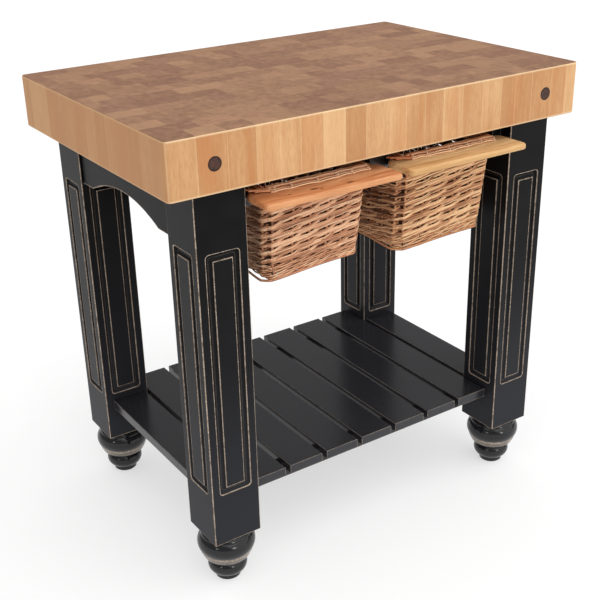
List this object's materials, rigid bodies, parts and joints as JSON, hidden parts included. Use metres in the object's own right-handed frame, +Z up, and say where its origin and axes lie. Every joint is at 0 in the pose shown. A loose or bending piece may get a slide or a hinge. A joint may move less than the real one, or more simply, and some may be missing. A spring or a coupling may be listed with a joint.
{
  "type": "butcher block table",
  "caption": "Kitchen work table with a thick end-grain block top, routed square legs on turned feet, slatted shelf and pull-out willow baskets.",
  "frame": {"origin": "on the floor under the middle of the whole table, its two basket boards at the front included; the middle of the block is 17.6 mm behind it", "axes": "+Z up, +X to the right along the long front, -Y out of the front where the baskets pull out"},
  "size_m": [0.9144, 0.6448, 0.9144],
  "materials": {
    "maple_block": "oiled, end grain on top",
    "walnut_plug": "oiled",
    "steel": "zinc plated",
    "dowel_wood": "plain",
    "plain_wood": "plain",
    "board_left": "satin",
    "board_right": "satin",
    "rim_wood": "plain",
    "willow": "bare",
    "black_paint": "satin black paint, rubbed through on the edges"
  },
  "bodies": {
    "table": {"apron_back": "black_paint", "apron_dowels": "dowel_wood", "apron_left": "black_paint", "apron_right": "black_paint", "block_top": "maple_block", "cleat_back": "plain_wood", "cleat_bolts": "steel", "cleat_left": "plain_wood", "cleat_right": "plain_wood", "cleat_screws": "steel", "foot_back_left": "black_paint", "foot_back_right": "black_paint", "foot_front_left": "black_paint", "foot_front_right": "black_paint", "foot_studs": "steel", "hanger_centre": "black_paint", "hanger_left": "black_paint", "hanger_right": "black_paint", "ledge_centre": "black_paint", "ledge_left": "black_paint", "ledge_right": "black_paint", "leg_back_left": "black_paint", "leg_back_right": "black_paint", "leg_front_left": "black_paint", "leg_front_right": "black_paint", "runner_bolts": "steel", "shelf_dowels": "dowel_wood", "shelf_rail_back": "black_paint", "shelf_rail_front": "black_paint", "shelf_rail_left": "black_paint", "shelf_rail_right": "black_paint", "slat_1": "black_paint", "slat_2": "black_paint", "slat_3": "black_paint", "slat_4": "black_paint", "slat_5": "black_paint", "slat_6": "black_paint", "slat_7": "black_paint", "slat_8": "black_paint", "slat_9": "black_paint", "slat_screws": "steel", "tie_rod_nuts": "steel", "tie_rod_plugs": "walnut_plug", "tie_rod_washers": "steel", "tie_rods": "steel"},
    "basket_left": {"basket_left_board": "board_left", "basket_left_border": "willow", "basket_left_dowels": "dowel_wood", "basket_left_rail_back": "rim_wood", "basket_left_rail_left": "rim_wood", "basket_left_rail_right": "rim_wood", "basket_left_woven_body": "willow"},
    "basket_right": {"basket_right_board": "board_right", "basket_right_border": "willow", "basket_right_dowels": "dowel_wood", "basket_right_rail_back": "rim_wood", "basket_right_rail_left": "rim_wood", "basket_right_rail_right": "rim_wood", "basket_right_woven_body": "willow"}
  },
  "joints": [
    {"name": "basket_left_slide", "type": "slide", "parent": "table", "child": "basket_left", "axis": [0, -1, 0], "range_m": [0, 0.3]},
    {"name": "basket_right_slide", "type": "slide", "parent": "table", "child": "basket_right", "axis": [0, -1, 0], "range_m": [0, 0.3]}
  ]
}
